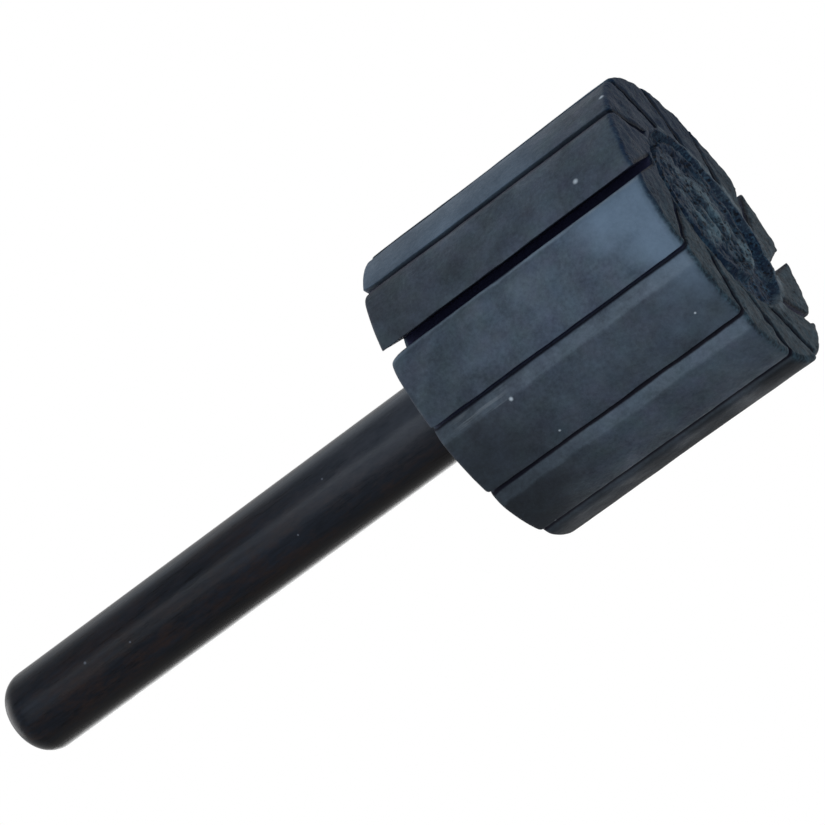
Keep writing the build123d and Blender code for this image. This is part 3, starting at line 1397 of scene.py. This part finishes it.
    def add_back(self, shell: Shell, rim_angles: np.ndarray) -> None:
        """The hub's back end: a flat ring round the spindle, and the seat's bore with its floor.

        Args:
            shell: takes the patch.
            rim_angles: the angles of the ring's outer points, in radians, rising through one turn.
        """
        closed = np.append(rim_angles, rim_angles[0] + 2 * pi)
        seat = self.seat_diameter / 2
        radii = np.linspace(self.hub_radius, seat, self.annulus_rings + 1)
        levels = np.full(radii.shape, self.top)
        radii = np.append(radii, seat)
        levels = np.append(levels, self.bottom + self.rubber_below_spindle)
        index = shell.add_grid(in_space(radii[:, None] * np.exp(1j * closed), levels[:, None]), flip=True)
        shell.faces.append(index[-1, :-1][None])

    def inside(self, distance: np.ndarray, radius: float) -> np.ndarray:
        """1 inside a circle and 0 outside it, with the moulding's soft slope between them."""
        soft = self.relief_slope_width / 2
        return smooth(radius + soft, radius - soft, distance)

    def from_centres(self, x: np.ndarray, y: np.ndarray) -> tuple[np.ndarray, np.ndarray]:
        """The distance from the drum's axis and from the boss's centre."""
        centre = self.boss_shift * unit(self.boss_shift_angle)
        return np.hypot(x, y), np.hypot(x - centre.real, y - centre.imag)

    def moulded_depth(self, x: np.ndarray, y: np.ndarray) -> np.ndarray:
        """How deep the moulded relief lies under the free end at a point, in millimetres.

        Formula: flat steps at the radii of the moat, the boss, its lip, the ring and the dimple, joined by
        smooth steps, and a cone in the dimple.

        Args:
            x: first coordinates of the points.
            y: second coordinates.

        Returns:
            One depth a point.
        """
        from_axis, from_boss = self.from_centres(x, y)
        in_moat = self.in_moat(x, y)
        in_lip = self.inside(from_boss, self.boss_diameter / 2 - self.lip_width)
        ring_radius = self.centre_ring_diameter / 2
        recess = in_lip * (1 - self.inside(from_axis, ring_radius))
        dimple_radius = ring_radius - self.centre_ring_width
        floor_radius = self.dimple_floor_diameter / 2
        cone = np.clip((dimple_radius - from_axis) / (dimple_radius - floor_radius), 0, 1)
        return in_moat * self.moat_depth + recess * self.boss_recess + cone * self.dimple_depth

    def in_moat(self, x: np.ndarray, y: np.ndarray) -> np.ndarray:
        """Where the moat round the boss is.

        Args:
            x: first coordinates of the points.
            y: second coordinates.

        Returns:
            1 in the moat and 0 elsewhere, with the moulding's soft slopes between them.
        """
        from_axis, from_boss = self.from_centres(x, y)
        in_boss = self.inside(from_boss, self.boss_diameter / 2)
        return self.inside(from_axis, self.moat_diameter / 2) * (1 - in_boss)

    @staticmethod
    def ridge(distance: np.ndarray, width: float) -> np.ndarray:
        """1 on a line and falling to both sides of it, as the bell curve exp(-(d / w)^2)."""
        return np.exp(-((distance / width) ** 2))

    def weather(self, points: np.ndarray, marks: np.ndarray) -> dict[str, np.ndarray]:
        """Shares of the weathering and of the painted light and shade on the outer faces, from 0 to 1.

        Formula: a band is the part of a face that is nearer to the shoulder's end than its width, with a
        noise on its border; its pale tone is painted light. The share that is paler towards the free end
        (painted light and rub wear) and the one that is darker towards the back end (painted shade and dirt)
        fade along the axis from those ends.

        Args:
            points: positions in millimetres.
            marks: the flap's number from 1 on, and the distance to its shoulder's end.

        Returns:
            The shares by the name of the attribute.
        """
        number = np.round(marks[:, 0]).astype(int)
        flap = {name: self.each(name).ravel()[number - 1] for name in FLAP_WEATHERING_AND_LIGHT}
        height = points[:, 2] - self.bottom
        length = self.top - self.bottom
        clouds = self.CLOUDS.at(points)
        to_end = marks[:, 1] + self.border_wave * self.BORDER_WAVES.at(points)
        # painted light: the pale band along each shoulder, with a paler line on its border
        border = self.ridge(to_end - flap["band"], self.border_width)
        band = smooth(flap["band"] + self.lit_band_outside, flap["band"] - self.lit_band_inside, to_end)
        band = band * self.lit_band_share + border * self.border_share
        band *= flap["band_light"] * (1 - self.lit_band_tired * self.lit_band_tiring.at(height, length))
        # painted shadow of each tip on the next shoulder, with dirt in the joint between them
        seam = smooth(flap["seam"] + self.seam_shade_and_dirt_blur, flap["seam"] - self.seam_shade_and_dirt_blur, marks[:, 1])
        shade = smooth(flap["shade"] + self.shade_blur, flap["shade"] - self.shade_blur, to_end)
        shade *= np.minimum(flap["shade"] / self.shade_blur, 1)
        # paler towards the free end: painted light, partly rub wear; on one flap paler towards the back end:
        # painted sheen
        rubbed = self.rubbed_and_lit_fade.at(height + self.rubbed_and_lit_cloud * clouds, length) * flap["rubbed"]
        rubbed += self.painted_back_sheen_fade.at(height + self.soiled_and_shaded_cloud * clouds, length) * flap["painted_back_sheen"]
        # darker towards the back end and over whole flaps: painted shade, partly dirt
        soiled = self.soiled_and_shaded_fade.at(height + self.soiled_and_shaded_cloud * clouds, length) * flap["soiled"]
        soiled = np.maximum(soiled, flap["dull_and_shaded"] * (1 + self.dull_and_shaded_cloud * clouds))
        shares = {"band": band, "seam": seam, "shade": shade, "rubbed": rubbed, "soiled": soiled}
        return {name: np.clip(share * (number > 0), 0, 1) for name, share in shares.items()}

    def build(self) -> bpy.types.Object:
        """Builds the drum's mesh, with its relief and the shares that its material reads.

        Formula: each point moves along the axis by the relief's depth times a share that fades from the free
        end, and towards the axis by a shallow noise near the outer faces.

        Returns:
            The rubber drum, in place.
        """
        points, faces, marks = self.build_shell().welded()
        x, y, z = points.T
        from_axis, from_boss = self.from_centres(x, y)
        on_plane = points * [1, 1, 0]
        height = z - self.bottom

        crumbs = self.CRUMBS.at(on_plane)
        ragged = x + self.ragged_shift * crumbs, y + self.ragged_shift * self.CRUMBS_ACROSS.at(on_plane)
        moat = self.in_moat(*ragged)
        boss_radius = self.boss_diameter / 2
        crumbly = smooth(boss_radius + self.crumbly_border, boss_radius, from_boss)
        holes = self.PITS.at(x, y) * self.pits_by_crumbs.at(crumbs) * self.pits_by_radius.at(from_boss)
        hollows = self.HOLLOWS.at(on_plane)
        slot_edge = (marks[:, 0] == self.END_FACE) * self.slot_edge_fade.at(marks[:, 1])

        relief = self.moulded_depth(*ragged)
        relief += crumbly * (self.crumb_base + self.crumb_height * crumbs + self.pit_depth * holes)
        grit = self.grit_height * np.clip(self.GRIT.at(on_plane), self.grit_lowest, 1)
        relief += moat * (self.moat_crumb_height * (1 + crumbs) + grit)
        ripples = self.ripple_height * np.clip(1 + self.RIPPLES.at(on_plane), 0, 2)
        relief += ripples + self.hollow_depth * np.clip(hollows, 0, 1) + self.slot_edge_depth * slot_edge
        dent = self.dent_depth * np.clip(1 + self.SWELL.at(points), 0, 2)
        dent *= smooth(self.radius - self.dent_from, self.radius - self.dent_to, from_axis)
        moved = points.copy()
        moved[:, 2] += np.maximum(relief, 0) * np.clip(1 - height / self.relief_reach, 0, 1)
        moved[:, :2] *= (1 - dent / np.maximum(from_axis, 1))[:, None]

        from_wall = from_axis + self.ragged_shift * crumbs - self.moat_diameter / 2
        far_side = self.far_side_fade.at(y)
        # painted highlight along the outer rim of the moat on its far side
        crest = self.ridge(from_wall - self.crest_highlight_place, self.crest_highlight_width) * far_side
        crest *= self.crest_highlight_fade.at(hollows - x / self.crest_highlight_side)
        # the moat's far wall, which takes painted shade
        wall = self.ridge(from_wall - self.wall_place, self.wall_width) * far_side
        # painted shade: the moat's far wall, the moat towards -x, the deeper hollows of the crumbly hub and
        # the +x side of the free end
        murk = [
            wall,
            self.moat_shade * moat * self.moat_shade_fade.at(x),
            self.hollow_shade * crumbly * self.hollow_shade_fade.at(hollows),
            self.end_side_shade * self.end_side_shade_fade.at(x),
        ]
        on_free_end = {
            "crumbly": crumbly,
            # where the pits take their painted shade
            "pitted": holes,
            "lumps": self.lump_fade.at(crumbs) * np.maximum(crumbly, moat),
            "moat": np.maximum(moat, wall),
            "murk": np.max(murk, axis=0),
            "crest": crest,
            "slot_edge": slot_edge,
            "free_end": np.ones(x.shape),
        }
        at_end = self.end_fade.at(height)
        shares = {name: share * at_end for name, share in on_free_end.items()}
        off_ends = self.off_end_fade.at(height) * self.off_end_fade.at(self.top - z)
        # painted shade deep inside the slots, away from both ends
        in_slot = smooth(self.radius - self.slot_shade_from, self.radius - self.slot_shade_to, from_axis)
        shares["in_slot"] = off_ends * in_slot

        piece = make_object("rubber_drum_moulding", moved, faces, self.sharp_angle)
        for name, values in (shares | self.weather(points, marks)).items():
            add_attribute(piece, name, values)
        return piece

    def dress(self, piece: bpy.types.Object, effects: SharedEffects) -> None:
        """Gives the drum its rubber and lets it stand for its CAD node."""
        fit_out(piece, "rubber_drum", self.rubber.build(effects))


@dataclass
class Spindle:
    """The turned steel spindle: a shank with a domed tip, on a narrower seat inside the rubber."""

    steel: BlackenedSteel = BlackenedSteel()
    tip_flat_diameter: float = 2.0
    seat_step: float = 0.5
    seat_chamfer: float = 0.4
    columns: int = 160
    shank_rows: int = 90
    dome_rows: int = 14

    def profile(self) -> np.ndarray:
        """The half section: seat, step, shank and dome.

        Formula: straight lines, and a quarter circle that ends at the flat of the tip.

        Returns:
            Radius and height of each point, in millimetres.
        """
        radius = mount_size("shank", "r_mm")
        bottom, top = node_heights("spindle")
        shoulder = node_heights("rubber_drum")[1]
        seat = radius - self.seat_step
        flat = self.tip_flat_diameter / 2
        dome = radius - flat
        angle = np.linspace(0, pi / 2, self.dome_rows + 1)
        chamfer = self.seat_chamfer
        shank_heights = np.linspace(shoulder, top - dome, self.shank_rows)
        lines = [
            [[0, bottom], [seat - chamfer, bottom], [seat, bottom + chamfer], [seat, shoulder]],
            np.stack([np.full(self.shank_rows, radius), shank_heights], axis=-1),
            np.stack([flat + dome * np.cos(angle), top - dome + dome * np.sin(angle)], axis=-1)[1:],
            [[0, top]],
        ]
        return np.concatenate(lines)

    def build(self) -> bpy.types.Object:
        """Turns the half section about the axis, and closes both ends.

        Returns:
            The spindle, in place.
        """
        radii, heights = self.profile()[1:-1].T
        shell = Shell()
        index = shell.add_grid(turned(radii, heights, self.columns), flip=True)
        shell.faces.append(index[0, :-1][::-1][None])
        shell.faces.append(index[-1, :-1][None])
        points, faces, _ = shell.welded()
        return make_object("steel_spindle", points, faces)

    def dress(self, piece: bpy.types.Object, effects: SharedEffects) -> None:
        """Gives the spindle its steel and lets it stand for its CAD node."""
        fit_out(piece, "spindle", self.steel.build(effects))


@dataclass(frozen=True)
class ViewPoint:
    """The photograph's camera: where it stands, where it looks and how it is rolled."""

    place: tuple[float, float, float] = (-0.866, -208.159, -45.845)
    heading: float = 0.611
    rise: float = 18.529
    roll: float = -126.403
    lens: float = 146.84
    sensor: float = 36.0
    nearest: float = 0.01
    farthest: float = 5.0

    def axes(self) -> tuple[Vector, Vector, Vector]:
        """The camera's directions in the row frame.

        Returns:
            Right, up and forward, each of length 1.
        """
        heading, rise = radians(self.heading), radians(self.rise)
        forward = Vector((sin(heading) * cos(rise), cos(heading) * cos(rise), sin(rise)))
        level = forward.cross(Vector((0, 0, 1))).normalized()
        above = level.cross(forward)
        roll = radians(self.roll)
        right = level * cos(roll) + above * sin(roll)
        return right, right.cross(forward), forward

    def build(self) -> None:
        """Places the camera and makes it the scene's."""
        right, up, forward = self.axes()
        camera = bpy.data.objects.new("camera", bpy.data.cameras.new("camera"))
        camera.data.lens = self.lens
        camera.data.sensor_width = self.sensor
        camera.data.clip_start = self.nearest
        camera.data.clip_end = self.farthest
        camera.matrix_world = Matrix((right, up, -forward)).transposed().to_4x4()
        camera.location = Vector(self.place) * MM
        bpy.context.scene.collection.objects.link(camera)
        bpy.context.scene.camera = camera


@dataclass(frozen=True)
class SoftLamp:
    """A rectangular soft lamp that is aimed at the part. Its second side stands upright.

    Attributes:
        azimuth: the direction to the lamp about +Z, in degrees from +X.
        height: the angle above the horizon, in degrees.
        distance: how far it stands from its target, in metres.
        sides: its width and its height, in metres.
        level: what it adds to the brightness of a white face that is turned to it.
        tint: its colour.
    """

    name: str
    azimuth: float
    height: float
    distance: float
    sides: tuple[float, float]
    level: float
    tint: tuple[float, float, float] = (1.0, 1.0, 1.0)

    def build(self, target: Vector) -> None:
        """Places the lamp at its distance from a point and turns it there.

        Args:
            target: the point, in metres.
        """
        lamp = bpy.data.lights.new(self.name, "AREA")
        lamp.shape = "RECTANGLE"
        lamp.size, lamp.size_y = self.sides
        lamp.energy = self.level * (pi * self.distance) ** 2
        lamp.color = self.tint
        holder = bpy.data.objects.new(self.name, lamp)
        azimuth, height = radians(self.azimuth), radians(self.height)
        away = Vector((cos(azimuth) * cos(height), sin(azimuth) * cos(height), sin(height)))
        holder.location = target + away * self.distance
        holder.rotation_mode = "QUATERNION"
        holder.rotation_quaternion = (-away).to_track_quat("-Z", "Y")
        bpy.context.scene.collection.objects.link(holder)


@dataclass(frozen=True)
class Studio:
    """Pale floor, white surroundings and soft lamps, in metres."""

    lamps: tuple[SoftLamp, ...] = (
        SoftLamp("window", 299, 12, 0.38, (0.06, 0.26), 0.46, (0.86, 0.93, 1.0)),
        SoftLamp("low_front", 268, -26, 0.26, (0.18, 0.14), 0.36, (0.88, 0.95, 1.0)),
        SoftLamp("side_window", 275, 16, 0.38, (0.12, 0.26), 0.27, (0.92, 0.95, 1.0)),
        SoftLamp("sky", 30, 15, 0.4, (0.20, 0.25), 0.15, (0.76, 0.88, 1.0)),
        SoftLamp("overhead", 40, 75, 0.5, (0.35, 0.35), 0.4),
        SoftLamp("back_fill", 110, 20, 0.6, (0.4, 0.4), 0.4),
    )
    floor_radius: float = 0.7
    fade_start: float = 0.16
    floor_gap: float = 0.00003
    floor_rings: tuple[float, float] = (0.02, 1.0)
    floor_columns: int = 96
    floor_tone: tuple = (0.8, 0.8, 0.8, 1)
    ambient: float = 0.45

    def build(self, target: Vector) -> None:
        """Builds the surroundings, the floor and the lamps.

        Args:
            target: the point that the lamps are aimed at, in metres.
        """
        self.build_world()
        self.build_floor()
        for lamp in self.lamps:
            lamp.build(target)

    def build_world(self) -> None:
        """White to the camera and in reflections, and an even soft light on everything else."""
        world = bpy.data.worlds.new("studio")
        world.use_nodes = True
        board = NodeBoard(world.node_tree)
        path = board.add("LightPath")
        seen = board.math("MAXIMUM", path.outputs["Is Camera Ray"], path.outputs["Is Glossy Ray"])
        seen = board.math("MAXIMUM", seen, path.outputs["Is Transmission Ray"])
        strength = board.span(seen, 0, 1, self.ambient, 1.0)
        background = board.add("Background", {"Color": (1, 1, 1, 1), "Strength": strength})
        board.add("OutputWorld", {"Surface": background.outputs[0]})
        bpy.context.scene.world = world

    def build_floor(self) -> None:
        """A pale floor under the free end, seen from above only, which fades into the white surroundings."""
        radii = np.array(self.floor_rings) * self.floor_radius / MM
        shell = Shell()
        index = shell.add_grid(turned(radii, np.full(2, -self.floor_gap / MM), self.floor_columns))
        shell.faces.append(index[0, :-1][None])
        points, faces, _ = shell.welded()
        floor = make_object("floor", points, faces)
        floor.visible_diffuse = False
        floor.visible_glossy = False
        floor.visible_transmission = False
        floor.visible_shadow = False

        material, board = new_material("pale_floor")
        place = board.add("TexCoord").outputs["Object"]
        distance = board.add("VectorMath", {0: place}, operation="LENGTH").outputs["Value"]
        gone = board.span(distance, self.fade_start, self.floor_radius)
        behind = board.add("NewGeometry").outputs["Backfacing"]
        clear = board.math("MAXIMUM", gone, behind)
        pale = board.add("BsdfDiffuse", {"Color": self.floor_tone})
        nothing = board.add("BsdfTransparent")
        mixed = board.add("MixShader", {0: clear, 1: pale.outputs[0], 2: nothing.outputs[0]})
        board.add("OutputMaterial", {"Surface": mixed.outputs[0]})
        floor.data.materials.append(material)


def main() -> None:
    """Builds the studio, the camera and the pieces, in that order."""
    logging.basicConfig(level=logging.INFO, format="%(message)s")
    bpy.context.scene.view_settings.view_transform = "Standard"
    drum_middle = sum(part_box("rubber_drum"), Vector()) / 2
    Studio().build(drum_middle)
    ViewPoint().build()

    effects = SharedEffects()
    for assembly in (RubberDrum(), Spindle()):
        assembly.dress(assembly.build(), effects)


if __name__ == "__main__":
    main()
